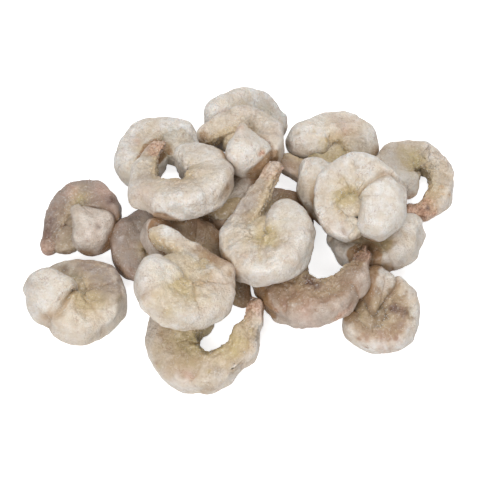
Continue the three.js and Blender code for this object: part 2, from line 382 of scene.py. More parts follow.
def fine_skin(row, look):
    """Points of the fine skin before it is laid down, and its masks, each a value for every point. Random
    heights, of one or of several sizes, have their own seed: the row's, plus a number."""
    s, v = ALONG[:, None], V[None, :]
    seed = row["seed"]
    grid = skin(row, s, v, full=SQUARE, blunt=look["blunt"])
    normal = outward(grid)
    thick = thickness(s) * row["girth"]
    inward = 0.5 - 0.5 * np.cos(v) * np.ones_like(s)
    rise = lambda size, n: heights(grid, size, seed + n)
    rises = lambda size, n, layers=2: layered(grid, size, seed + n, layers)
    on_belly = ease(inward, 0.45, 0.95)
    on_back = ease(1 - inward, 0.55, 0.95)
    whole = ease(s, 0.02, 0.1) * (1 - ease(s, 0.93, 0.99))

    wander = 0.015 * rise(7, 0)
    joint = np.abs(np.sin(np.pi * SEGMENTS * (s + wander)))
    crease = np.exp(-joint / 0.1) * whole * ease(rise(11, 1), -0.5, 0.5)
    valley = np.exp(-np.abs(rises(8, 8)) / 0.05)
    wrinkle = valley * ease(rise(9, 9), 0.0, 0.5)
    flap = bump(np.abs(v - np.pi), 0.85, 0.3) * (0.5 + 0.5 * np.cos(2 * np.pi * SEGMENTS * (s + 0.05)))
    groove = bump(v, np.pi, 0.35)
    slow = rises(12, 2)
    lumps = rises(5.5, 13)
    facets = np.abs(rise(9, 10))
    cover = rises(7, 3, 3)
    grains = rises(2.3, 4)
    fine = rise(1.0, 5)
    rough = look["rough"] * (0.45 + 0.55 * ease(cover + 0.9 * inward, 0.1, 0.9)) + 0.6 * on_belly * whole
    rough = np.clip(rough * (1 - 0.4 * on_back), 0, 1.3) + look["cut"] * (1 - ease(s, 0.03, 0.07))
    end, swell = look["lobe"]
    end = end * (1 - 0.2 * (2 * inward - 1) ** 2)
    dome = np.sqrt(np.clip(1 - ((s - end / 2) / (end / 2)) ** 2, 0, 1))
    on_lobe = 1 - ease(s + 0.015 * rise(5, 14), end - 0.03, end + 0.01)
    fold = bump(s, end + 0.012 * rise(6, 15), 0.016) * (swell > 0)
    rough = rough * (1 - 0.6 * on_lobe)

    height = (1.3 * slow - 1.0 * facets + 0.8 * lumps - 0.5 * crease * look["crease"] - 0.3 * wrinkle
              + (0.9 * flap * whole - 0.8 * groove * whole) * np.minimum(thick, 1) * look["flaps"]
              + (0.6 * grains + 0.36 * fine) * rough + 0.15 + swell * dome - 1.6 * fold
              - 2.0 * look["shell"] * ease(s, 0.76, 0.92))
    grid = grid + normal * height[..., None] * np.minimum(1, 3 * thick)[..., None]
    tail = ease(s + 0.03 * rise(3, 7), 0.84, 0.92) * look["shell"]
    ridge = 0.5 * slow + 0.6 * lumps - 0.6 * facets + 0.25
    frost = look["frost"] * (0.6 + 0.4 * ease(cover, -0.4, 0.4)) + 0.3 * ridge
    frost = frost * (1 - (0.55 + 0.4 * look["rim"]) * inward)
    off_lobe = 1 - 0.9 * on_lobe
    off_rim = 1 - look["rim"] * (1 - ease(inward, 0.2, 0.5))
    masks = dict(
        frost=frost * off_lobe * (1 - 0.7 * tail) + 0.75 * on_lobe,
        hollow=on_belly * whole + 0.4 * (1 - on_back) * ease(rise(8, 6) + inward, 0.3, 1.2),
        crease=0.8 * crease * look["crease"] + 0.35 * wrinkle + 0.8 * fold,
        pink=look["pink"] * ease(slow + 0.8 * (1 - inward), 0.55, 1.1),
        olive=look["olive"] * inward**2 * ease(rises(6, 11), -0.4, 0.5),
        grey=(look["grey"] + 0.4 * ease(rises(14, 12), 0.1, 0.6)) * off_lobe,
        tan=look["tan"] * (0.7 + 0.5 * ease(cover, -0.3, 0.4)) * off_lobe * off_rim,
        tail=tail,
        grit=rough,
    )
    return grid, {key: values * np.ones_like(inward) for key, values in masks.items()}


# %% [markdown]
# ## What closes the middle of a curl
#
# Where a shrimp is curled up tight, its belly flaps and ice fill the middle, and only a dimple is left.
# Pebbles of lumpy ice do this: squared ellipsoids with a dimple in both sides.


# %% Pebbles that fill a curl
PEBBLE_SQUARE = 0.65
FILL_STEP = 60  # the step of the middle line at whose height the fills are


def pebble(sizes, dimple, seed):
    """A squared ellipsoid on a grid of latitude and longitude: cosine and sine of the latitude are raised
    to a lower power. A bell curve takes a dimple out of its height, and random heights roughen it."""
    lat = np.linspace(-np.pi / 2, np.pi / 2, 52)[1:-1, None]
    lon = 2 * np.pi * np.arange(96)[None, :] / 96
    level = np.ones_like(lon)
    ball = np.stack([np.cos(lat) * np.cos(lon), np.cos(lat) * np.sin(lon), np.sin(lat) * level], -1)
    reach = np.cos(lat) ** PEBBLE_SQUARE
    height = np.sign(lat) * np.abs(np.sin(lat)) ** PEBBLE_SQUARE * (1 - dimple * bump(reach, 0, 0.5))
    flat = np.stack([reach * np.cos(lon), reach * np.sin(lon), height * level], -1)
    grid = flat * np.array(sizes)
    lumps = 0.9 * layered(grid, 5, seed, 3) + 0.45 * layered(grid, 1.9, seed + 1, 2)
    return (grid + ball * lumps[..., None])[::-1]


def fills_of(row, look):
    """A pebble for each fill: how wide and how thick it is, and where it is from the curl's middle."""
    mid = np.array([0, 0, row["line"]["z"][FILL_STEP]])
    return [pebble((wide, wide, thick), look["dimple"], row["seed"] + 20 + n) + mid + [dx, dy, 0]
            for n, (wide, thick, dx, dy) in enumerate(look["fills"])]


# %% [markdown]
# ## Tail fans
#
# Some shrimps keep the last bit of shell with its tail fan: five thin leaves, a pointed one in the
# middle and two rounded ones on each side, ribbed along their length. A leaf is a flat ellipse carried
# along a straight line, wide in the middle and closing at its tip.


# %% The tail fan
def leaf(base, way, across, flat, length, width, seed):
    """A flat ellipse along a line from base, its width following a half sine, with ribs round it."""
    u = np.linspace(0, 1, 26)[1:-1, None]
    w = 2 * np.pi * np.arange(24)[None, :] / 24
    shape = np.sin(np.pi * u**0.75) ** 0.7
    ribs = 1 + 0.25 * np.cos(7 * w) * np.sin(np.pi * u)
    bent = 0.9 * np.sin(2.2 * u + seed)
    side = width / 2 * shape * np.cos(w)
    up = 0.75 * shape * np.sin(w) * ribs + bent
    return base + length * u[..., None] * way + side[..., None] * across + up[..., None] * flat


def fan_of(row, size, plane):
    """Five leaves that start inside the tail tip. They spread across the body, or in the plane of the
    curl, or between the two: plane is that angle in degrees. A way between two others at right angles is
    the cosine times the one plus the sine times the other."""
    line = row["line"]
    at = LINE_STEPS - 7  # a step inside the tail tip
    base = np.array([line["x"][at], line["y"][at], line["z"][at]])
    between = lambda one, other, angle: math.cos(angle) * one + math.sin(angle) * other
    x, y, z = np.eye(3)
    way = between(x, y, line["heading"][at])
    out = np.sign(row["turn"]) * between(-y, x, line["heading"][at])
    across, out = between(z, out, math.radians(plane)), between(out, -z, math.radians(plane))
    leaves = []
    for spread, length, width, lift in [(-34, 0.9, 0.8, -0.6), (-15, 1, 0.9, 0), (0, 0.95, 0.7, 0.9),
                                        (15, 1, 0.9, 0.2), (34, 0.9, 0.8, -0.5)]:
        a = math.radians(spread)
        along, wide = between(way, across, a), between(across, -way, a)
        leaves.append(leaf(base + lift * out, along, wide, out, size * length, 0.62 * size * width, spread))
    return leaves


# %% [markdown]
# ## Ice crystals
#
# Loose frost gathers in the hollows as tiny grains that catch the light. Each is a stretched octahedron
# of eight faces, half sunk in the skin. All grains of a shrimp are worked out at once, as one array.


# %% Ice crystals
def crystals(points, normals, chance, count, seed):
    """Octahedra at points picked by chance: six corners each, turned at random and stretched."""
    rng = np.random.default_rng(seed)
    picked = rng.choice(len(points), count, p=chance / chance.sum())
    corners = np.array([[1, 0, 0], [-1, 0, 0], [0, 1, 0], [0, -1, 0], [0, 0, 1], [0, 0, -1.0]])
    turns, _ = np.linalg.qr(rng.normal(size=(count, 3, 3)))
    turns[:, :, 0] *= np.sign(np.linalg.det(turns))[:, None]
    sizes = rng.uniform(0.12, 0.42, (count, 1, 1)) * rng.uniform(0.6, 1.3, (count, 1, 3))
    at = points[picked] + normals[picked] * 0.05
    faces = np.array([[0, 2, 4], [2, 1, 4], [1, 3, 4], [3, 0, 4], [2, 0, 5], [1, 2, 5], [3, 1, 5], [0, 3, 5]])
    placed = (corners[None] * sizes) @ turns.transpose(0, 2, 1) + at[:, None]
    return placed.reshape(-1, 3), (faces[None] + 6 * np.arange(count)[:, None, None]).reshape(-1, 3)


# %% [markdown]
# ## From grids to one mesh
#
# A grid of rings becomes faces by joining each ring to the next, and a point at each end closes it. All
# parts of a shrimp are joined in one mesh, put in with foreach_set, which copies whole arrays at once.


# %% Faces of a grid, and the mesh
def ring_faces(rings, around, first):
    """Quads between rings and triangles to the two end points, which follow the grid's own points."""
    i = np.arange(rings - 1)[:, None]
    k = np.arange(around)[None, :]
    at = lambda ring, point: first + ring * around + point % around
    quads = np.stack([at(i, k), at(i + 1, k), at(i + 1, k + 1), at(i, k + 1)], -1).reshape(-1, 4)
    k = np.arange(around)
    start = np.full(around, first + rings * around)
    head = np.stack([start, at(0, k), at(0, k + 1)], -1)
    tail = np.stack([start + 1, at(rings - 1, k + 1), at(rings - 1, k)], -1)
    return quads, np.concatenate([head, tail])


def closed_grid(grid):
    """The grid's points, or values, with the mean of its first ring and of its last ring added."""
    ends = [grid[0].mean(0)[None], grid[-1].mean(0)[None]]
    return np.concatenate([grid.reshape(-1, *grid.shape[2:]), *ends])


def mesh_from(name, points, quads, triangles, masks):
    """A mesh from arrays: loops hold the corner numbers, and each face says where its loops start."""
    mesh = bpy.data.meshes.new(name)
    loops = np.concatenate([quads.ravel(), triangles.ravel()]).astype(np.int32)
    totals = np.repeat([4, 3], [len(quads), len(triangles)]).astype(np.int32)
    mesh.vertices.add(len(points))
    mesh.loops.add(len(loops))
    mesh.polygons.add(len(totals))
    mesh.vertices.foreach_set("co", points.astype(np.float32).ravel())
    mesh.loops.foreach_set("vertex_index", loops)
    mesh.polygons.foreach_set("loop_start", np.concatenate([[0], np.cumsum(totals)[:-1]]).astype(np.int32))
    mesh.polygons.foreach_set("use_smooth", np.ones(len(totals), bool))
    for key, values in masks.items():
        layer = mesh.attributes.new(key, "FLOAT", "POINT")
        layer.data.foreach_set("value", np.clip(values, 0, 1).astype(np.float32))
    mesh.update(calc_edges=True)
    mesh.validate()
    return mesh


# %% [markdown]
# ## How the shrimps differ
#
# Some are thick with frost and nearly white, others show brownish flesh. Shrimps 04, 12 and 20 lie low, under
# others, and their brown is partly flesh colour and partly painted shade. A look gives only what differs from
# the plain one: how frosty, rough and creased a shrimp is, and how much of each colour it has.
#
# - fan: the size of the tail fan in millimetres, and its angle in degrees
# - fills: how wide and thick each pebble is, and where it is from the curl's middle
# - lobe: how far the pale lobe behind the head cut goes along the body, and how much it swells
# - rim: how pale the outer rim stays. dimple: how deep the pebbles' hollows are
# - blunt: how blunt the head end is. cut: how rough the head cut is
# - marks: soft patches of a mask, and pushes: soft bumps or dents. Each is where it is in the picture,
#   how wide it is in millimetres and how strong it is

# %% Looks
PLAIN = dict(frost=0.8, rough=0.5, crease=0.8, flaps=1, shell=0, fan=None, fills=[], lobe=(0.2, 0),
             rim=0, dimple=0.35, blunt=2.4, cut=0, grey=0, tan=0.05, olive=0.3, pink=0.2, marks={},
             pushes=[])
LOOKS = {
    "01": dict(
        frost=0.25, rough=0.8, grey=1, tan=0.15, olive=0.1, shell=0.5, lobe=(0.25, 1.8),
        fills=[(9, 4.5, 0, 0), (8, 3.5, -7, -12)],
        marks=dict(
            dark=[(111, 199, 3, 0.8), (52, 228, 7, 0.6), (62, 212, 5, 0.4), (98, 205, 6, 0.35),
                  (100, 226, 1.8, 0.7), (48, 240, 5, 0.3)], olive=[(78, 198, 5, 0.9)],
            pink=[(43, 252, 5, 0.8), (70, 190, 5, 0.5), (104, 190, 6, 0.5), (92, 228, 7, 0.3)],
            frost=[(92, 192, 4, 0.5), (88, 236, 9, 0.7)]),
        pushes=[(41, 252, 5, 2), (55, 190, 8, -1.8), (46, 212, 6, -1.3), (90, 183, 8, -0.6)]),
    "02": dict(
        frost=0.65, rough=0.55, pink=0.1, lobe=(0.2, 1.6), fills=[(14, 7, 0, 0)],
        marks=dict(
            dark=[(90, 287, 3.5, 0.35)],
            grey=[(85, 268, 9, 1.1), (30, 285, 5, 0.9), (105, 278, 9, 1), (110, 290, 9, 0.7)],
            tan=[(85, 268, 9, 0.5), (108, 292, 6, 0.4), (105, 283, 6, 0.4)], olive=[(90, 300, 10, 0.5)]),
        pushes=[(50, 264, 8, 1.5), (33, 314, 7, -2.8), (60, 336, 7, -1), (115, 326, 7, -1.5),
                (84, 343, 4, 1)]),
    "03": dict(frost=0.4, rough=0.3, grey=0.8, tan=0.15, crease=0.6, olive=0.5, fills=[(11, 6.5, 0, 0)]),
    # 04 lies low under others: little frost and much tan make it brown, partly flesh colour and partly
    #                           painted shade
    "04": dict(frost=0.1, rough=0.7, tan=0.75, marks=dict(frost=[(243, 295, 5, 0.4)])),
    "05": dict(
        frost=1.3, rough=0.6, dimple=0.1, fills=[(11, 6.5, 5, 6)],
        marks=dict(pink=[(133, 139, 4, 0.6)], olive=[(128, 175, 9, 0.6), (150, 150, 8, 0.3)]),
        pushes=[(115, 172, 9, 2.4), (133, 127, 8, -2.6), (160, 117, 8, -1), (187, 121, 4, 1.4)]),
    "06": dict(
        rough=1, shell=0.9, fan=(5, 50), flaps=1.2, blunt=4.5, cut=1.2,
        marks=dict(
            shell=[(161, 152, 6, 0.8)], dark=[(163, 165, 2.5, 0.8)],
            # the tan mark at 228, 190 is painted shade, in the deep gap between 06, 08 and 10
            tan=[(228, 190, 4, 0.8), (180, 178, 5, 0.5)], frost=[(180, 212, 12, 0.4)],
            pink=[(145, 190, 7, 0.4)]),
        pushes=[(131, 203, 5, 2.2), (225, 170, 4, 1)]),
    "07": dict(
        frost=1.3, rough=0.3, tan=0, crease=0.5, fills=[(14, 6.5, 0, 0)],
        marks=dict(olive=[(240, 118, 8, 0.5)], grey=[(283, 135, 5, 1)], pink=[(222, 112, 2, 0.6)]),
        pushes=[(205, 108, 8, 2.3), (278, 100, 8, -1.8), (250, 88, 8, -0.8)]),
    "08": dict(
        frost=0.75, rough=0.9, tan=0.1, pink=0.3, lobe=(0.26, 2), fills=[(10, 4, 0, 0)],
        marks=dict(
            shell=[(234, 125, 2.5, 0.8), (265, 153, 1.6, 1)], tan=[(198, 163, 7, 1.2)],
            pink=[(235, 128, 9, 0.4)])),
    "09": dict(
        frost=0.85, rough=0.75, dimple=0.3, fills=[(19, 7.2, -0.5, -1.5)],
        marks=dict(
            olive=[(180, 290, 13, 0.8)], frost=[(168, 228, 5, 0.6)], pink=[(205, 280, 6, 0.3)],
            # the tan mark at 218, 250 is painted shade, in the deep gap between 06, 09 and 10
            tan=[(218, 250, 9, 1.8)]),
        pushes=[(231, 268, 4, 2.6), (142, 303, 4, 1.8), (205, 262, 5, -0.8)]),
    "10": dict(
        frost=0.9, rough=0.9, shell=0.5, fan=(8, 80), fills=[(14, 7, 1, 0)],
        marks=dict(
            olive=[(270, 232, 9, 1)], shell=[(245, 255, 3, 0.4)],
            grey=[(248, 205, 9, 0.7), (258, 185, 7, 0.6)], frost=[(250, 229, 3, 0.5)])),
    "11": dict(
        rough=0.95, shell=0.8, fan=(6, 60), tan=0.3, rim=0.8, flaps=1.3, olive=0.8,
        marks=dict(
            grey=[(210, 328, 8, 0.5)], olive=[(188, 345, 10, 0.8), (235, 345, 9, 0.8)],
            pink=[(188, 373, 3, 0.6)], shell=[(243, 302, 4, 0.9)], dark=[(245, 298, 2.5, 0.8)]),
        pushes=[(233, 324, 6, 1.8), (145, 328, 7, -2.5), (263, 334, 8, -2.8), (239, 377, 10, -2.4),
                (185, 391, 9, -1.3), (222, 309, 5, -1.5)]),
    # 12 lies low under others: its brown is partly flesh colour and partly painted shade
    "12": dict(frost=0.1, rough=0.9, tan=0.6, fills=[(12, 6, 0, 0)]),
    "13": dict(
        frost=0.85, rough=1.25, shell=1, fan=(7, 60), tan=1.2, rim=0.8, grey=0.1, flaps=1.4,
        marks=dict(
            pink=[(305, 322, 10, 0.5), (345, 312, 6, 0.4), (262, 300, 7, 0.4)],
            # the dark mark at 309, 281 is painted shade at the inner bottom of the curl
            dark=[(309, 281, 5, 1), (356, 255, 6, 0.5), (283, 300, 5, 0.25), (322, 300, 5, 0.25)],
            frost=[(300, 318, 9, 0.3), (345, 305, 7, 0.2)], tan=[(290, 292, 10, 1), (335, 292, 9, 0.8)],
            shell=[(338, 318, 2.5, 0.7), (276, 312, 2.5, 0.6)])),
    "14": dict(
        frost=1, rough=0.8, tan=0.5, rim=0.9, lobe=(0.25, 1.4), fills=[(12, 5, 0, 0)],
        marks=dict(
            grey=[(378, 290, 9, 0.6)], dark=[(378, 314, 11, 0.45), (398, 308, 3.5, 0.6)],
            tan=[(372, 310, 13, 0.8), (385, 322, 7, 0.9), (375, 305, 8, 0.8)], pink=[(385, 345, 8, 0.5)]),
        pushes=[(343, 339, 8, 2.6), (418, 312, 9, -1.8)]),
    "15": dict(
        frost=0.9, rough=0.55, tan=0.15, grey=0.15, fills=[(12, 5, 0, 0)],
        marks=dict(olive=[(380, 242, 8, 1)], dark=[(380, 242, 5, 0.4), (402, 264, 3, 0.4)]),
        pushes=[(415, 260, 6, 1.2), (425, 234, 6, -3)]),
    "16": dict(
        frost=0.85, rough=0.55, fills=[(14, 5.5, 0, -2)],
        marks=dict(
            olive=[(348, 158, 9, 1), (322, 152, 5, 0.6)], pink=[(345, 124, 7, 0.5)],
            tan=[(284, 165, 12, 1)]),
        pushes=[(330, 108, 11, -3), (308, 113, 7, -1.2), (290, 128, 5, -1.4), (377, 126, 6, 1.2)]),
    "17": dict(
        frost=1.1, rough=0.6, tan=0, olive=0.25, lobe=(0.28, 1.4),
        fills=[(10, 4.5, -2, 1), (6, 5, -2, -14)],
        marks=dict(olive=[(350, 197, 7, 1)], pink=[(343, 231, 4, 0.7)])),
    "18": dict(
        frost=0.9, rough=0.75, shell=0.7, fan=(13, 65), crease=1, fills=[(6, 4, -3, 3)],
        marks=dict(
            olive=[(412, 158, 8, 1), (435, 190, 6, 0.5)], dark=[(425, 165, 1.3, 1), (427, 207, 1.6, 1)],
            shell=[(420, 212, 10, 1.1)]),
        pushes=[(449, 206, 8, 2.2), (432, 220, 5, 1.5), (441, 154, 13, -3), (412, 140, 8, -1.2),
                (418, 195, 4, 1.8)]),
    "19": dict(
        frost=0.75, rough=0.6, tan=0.15, fills=[(12, 5, 0, 0)],
        marks=dict(tan=[(315, 228, 6, 0.8)])),
    # 20 lies low under others: its brown is partly flesh colour and partly painted shade
    "20": dict(frost=0.15, rough=0.8, tan=0.9, fills=[(13, 6, 0, 0)]),
}
print("looks:", len(LOOKS), "pushes:", sum(len(look.get("pushes", [])) for look in LOOKS.values()))

ONLY_MARKS = ["shell", "dark"]  # masks that have no values but those of marks
REACH = 1.5  # pixels
OFF_COST = 0.004  # metres for each pixel past the reach


def apart_from(points, seen, x, y):
    """How far each point is from the one that the camera sees at x, y: of the points within reach of
    that place, the nearest to the camera. Points past the reach count as farther by their distance."""
    px, py, depth = seen
    centre = points[(depth + OFF_COST * np.maximum(np.hypot(px - x, py - y) - REACH, 0)).argmin()]
    return np.linalg.norm(points - centre, axis=1)


def push_out(points, normals, look):
    """Moves the points round each push's place along their normals: e to the minus square of the
    distance over the width gives a soft bump or dent."""
    seen = in_picture(points * MM)
    for x, y, wide, amount in look["pushes"]:
        apart = apart_from(points, seen, x, y)
        points += normals * (amount * np.exp(-((apart / wide) ** 2)))[:, None]


def paint_marks(points, masks, look):
    """Adds each mark in the same way. Random heights are added to the distance, so that a mark has a
    ragged edge."""
    seen = in_picture(points)
    ragged = layered(points / MM, 4, 5, 3)
    for key, marks in look["marks"].items():
        for x, y, wide, amount in marks:
            apart = apart_from(points, seen, x, y) / MM
            apart = apart * (1 + 0.7 * ragged) + 0.8 * ragged
            masks[key] = masks[key] + amount * np.exp(-((apart / wide) ** 2) * 1.2)


# %% [markdown]
# ## Put a shrimp's parts together
#
# Fine skin, fills and tail fan are laid down as the solid lies, and a little flattened at the floor. A
# push moves a soft patch of them in or out, where the outline needs a corner or a dent.


# %% The parts of one shrimp
FLOOR_GAP = 0.5  # millimetres


def above_floor(z):
    """Heights under the gap are squeezed into it by e to the power of how far they are under it."""
    return np.where(z < FLOOR_GAP, FLOOR_GAP * np.exp(np.minimum(z / FLOOR_GAP - 1, 0)), z)


def shape_shrimp(number, row):
    """Every part's points, turned and shifted as the solid is, with masks for each point."""
    look = {**PLAIN, **LOOKS[number]}
    turn, shift, _ = places[number]
    skin_grid, skin_masks = fine_skin(row, look)
    of_fill = {"hollow": 0.6, "frost": 0.65 * look["frost"], "grit": 1.0, "tan": look["tan"],
               "grey": look["grey"], "olive": look["olive"]}
    of_fan = {"tail": 1.0, "grit": 0.6}
    more = [(grid, of_fill) for grid in fills_of(row, look)]
    more += [(grid, of_fan) for grid in fan_of(row, *look["fan"])] if look["fan"] else []
    parts = [(skin_grid, skin_masks)]
    for grid, values in more:
        parts.append((grid, {key: np.full(grid.shape[:2], values.get(key, 0.0)) for key in skin_masks}))
    quads, triangles, count = [], [], 0
    for grid, _ in parts:
        q, t = ring_faces(grid.shape[0], grid.shape[1], count)
        quads.append(q)
        triangles.append(t)
        count += grid.shape[0] * grid.shape[1] + 2
    points = np.concatenate([closed_grid(grid) for grid, _ in parts]) @ turn.T + shift
    normals = np.concatenate([closed_grid(outward(grid)) for grid, _ in parts]) @ turn.T
    masks = {key: np.concatenate([closed_grid(own[key]) for _, own in parts]) for key in skin_masks}
    for key in ONLY_MARKS:
        masks[key] = np.zeros(len(points))
    push_out(points, normals, look)
    points[:, 2] = above_floor(points[:, 2])
    paint_marks(points * MM, masks, look)
    return dict(points=points, normals=normals, quads=quads, triangles=triangles, masks=masks, look=look,
                skin_count=skin_grid.shape[0] * skin_grid.shape[1])


shapes = {number: shape_shrimp(number, row) for number, row in SHRIMPS.items()}
print("points in all:", sum(len(shape["points"]) for shape in shapes.values()))

# %% [markdown]
# ## Painted shade where shrimps touch
#
# Where shrimps lie close to each other, their skin gets painted shade: it is coloured darker and browner, and
# the frost is taken off there. How close the others are is read from a coarse grid of boxes: each box holds
# how many skin points of the others are in it, the counts are spread out over a few boxes, and a point reads
# the box just outside it.

# %% How close the neighbours are
BOX = 2.0  # millimetres
OUTSIDE = 2.5  # millimetres from the skin to the place that is read
LOW_CORNER = np.array([-120.0, -100.0, -8.0])  # millimetres
BOXES = np.array([120, 100, 36])  # along x, y and z


def spread(counts):
    """Each box takes the mean of itself and its neighbours along every axis, three times over."""
    for _ in range(3):
        for axis in range(3):
            counts = (np.roll(counts, 1, axis) + counts + np.roll(counts, -1, axis)) / 3
    return counts


within = lambda at: np.clip(at, 0, BOXES - 1)
own_counts = {}
for number, shape in shapes.items():
    at = ((shape["points"] - LOW_CORNER) / BOX).astype(int)
    own_counts[number] = np.zeros(BOXES)
    np.add.at(own_counts[number], tuple(within(at).T), 1)
all_counts = sum(own_counts.values())
for number, shape in shapes.items():
    others = spread(all_counts - own_counts[number])
    at = (shape["points"] + OUTSIDE * shape["normals"] - LOW_CORNER) / BOX - 0.5
    reading = blended(others, at, within, lambda f: f)
    # painted shade: the closer the other shrimps, the more this skin is later darkened and browned
    shape["masks"]["gap_shade"] = ease(reading, 0.8, 5.0)
print("how much of each shrimp is close to others:",
      {number: round(float(shape["masks"]["gap_shade"].mean()), 2) for number, shape in shapes.items()})

# %% [markdown]
# ## Make the pieces
#
# Crystals are strewn where the skin is hollow, and each shrimp becomes one mesh and one piece.


# %% Make one piece
def make_shrimp(number, shape):
    """One mesh of all the parts, with the crystals added last."""
    look, points, masks = shape["look"], shape["points"], shape["masks"]
    only = slice(0, shape["skin_count"])
    chance = (masks["hollow"][only] + 0.15 * look["rough"]) * (shape["normals"][only, 2] > -0.2)
    count = int(130 * look["rough"]) + 40
    grains, grain_faces = crystals(points[only], shape["normals"][only], chance, count,
                                   SHRIMPS[number]["seed"])
    grains[:, 2] = np.maximum(grains[:, 2], 0)
    masks = {key: np.concatenate([own, np.full(len(grains), 0.9 if key == "frost" else 0.0)])
             for key, own in masks.items()}
    name = "raw_shrimp_" + number
    mesh = mesh_from(name, np.concatenate([points, grains]) * MM, np.concatenate(shape["quads"]),
                     np.concatenate(shape["triangles"] + [grain_faces + len(points)]), masks)
    return add_object(name, mesh)


pieces = {number: make_shrimp(number, shape) for number, shape in shapes.items()}
faces = sum(len(piece.data.polygons) for piece in pieces.values())
print("pieces:", len(pieces), "faces:", faces)

# %% [markdown]
# ## Node groups for flesh and frost
#
# Both finishes, frosted and bare, use the same effects with other values, so each effect is a node group.
# The first mixes the colour of the flesh from the masks. The second makes the grain of the frost.


# %% Helpers for node groups
def new_group(name, inputs, outputs):
    """A shader node group with its given sockets and its result node: inputs are {name: value}, where a
    colour has four numbers, and outputs are {name: kind}."""
    group = bpy.data.node_groups.new(name, "ShaderNodeTree")
    for label, value in inputs.items():
        kind = "NodeSocketColor" if isinstance(value, tuple) else "NodeSocketFloat"
        group.interface.new_socket(name=label, in_out="INPUT", socket_type=kind).default_value = value
    for label, kind in outputs.items():
        group.interface.new_socket(name=label, in_out="OUTPUT", socket_type="NodeSocket" + kind)
    return group, group.nodes.new("NodeGroupInput").outputs, group.nodes.new("NodeGroupOutput")


class Nodes:
    """Short ways to add nodes to a tree: most give back the output socket of the new node."""

    def __init__(self, tree):
        self.tree = tree  # where the nodes go

    def fill(self, node, inputs):
        """Gives each input of a node its value, or a link from another node's socket."""
        for label, value in inputs.items():
            if isinstance(value, bpy.types.NodeSocket):
                self.tree.links.new(value, node.inputs[label])
            else:
                node.inputs[label].default_value = value

    def add(self, kind, inputs, **settings):
        """A new node. Its settings come first, because they change which inputs it has."""
        node = self.tree.nodes.new("ShaderNode" + kind)
        for label, value in settings.items():
            setattr(node, label, value)
        self.fill(node, inputs)
        return node

    def mask(self, name):
        """The mesh's values of that name."""
        return self.add("Attribute", {}, attribute_name=name).outputs["Fac"]

    def place(self):
        """Places in the object's own frame, in metres."""
        return self.add("TexCoord", {}).outputs["Object"]

    def noise(self, place, size, detail=2.0, rough=0.5):
        """Noise whose features are about size metres wide."""
        inputs = {"Vector": place, "Scale": 1 / size, "Detail": detail, "Roughness": rough}
        return self.add("TexNoise", inputs).outputs["Fac"]

    def cells(self, place, size):
        """The distance to the nearest of points that are strewn about size metres apart."""
        return self.add("TexVoronoi", {"Vector": place, "Scale": 1 / size}).outputs["Distance"]

    def math(self, kind, a, b, clamp=False):
        """A sum of a and b, of that kind. With clamp it is kept between 0 and 1."""
        return self.add("Math", {0: a, 1: b}, operation=kind, use_clamp=clamp).outputs[0]

    def plus(self, a, b):
        """a and b added."""
        return self.math("ADD", a, b)

    def minus(self, a, b, clamp=False):
        """a less b."""
        return self.math("SUBTRACT", a, b, clamp)

    def times(self, a, b, clamp=False):
        """a times b."""
        return self.math("MULTIPLY", a, b, clamp)

    def span(self, value, low, high, to_low=0.0, to_high=1.0):
        """Maps low..high to to_low..to_high, smoothly and without leaving that range."""
        inputs = {"Value": value, "From Min": low, "From Max": high, "To Min": to_low, "To Max": to_high}
        return self.add("MapRange", inputs, interpolation_type="SMOOTHSTEP").outputs["Result"]

    def mix(self, amount, a, b):
        """The colour a with that amount of the colour b. A mix node's colours are inputs 6 and 7."""
        return self.add("Mix", {"Factor": amount, 6: a, 7: b}, data_type="RGBA").outputs[2]


def colour(red, green, blue):
    """A colour as it is seen on a screen, 0 to 255, turned into the even steps that light has."""
    even = lambda c: c / 12.92 if c <= 0.04045 else ((c + 0.055) / 1.055) ** 2.4
    return (*(even(c / 255) for c in (red, green, blue)), 1)

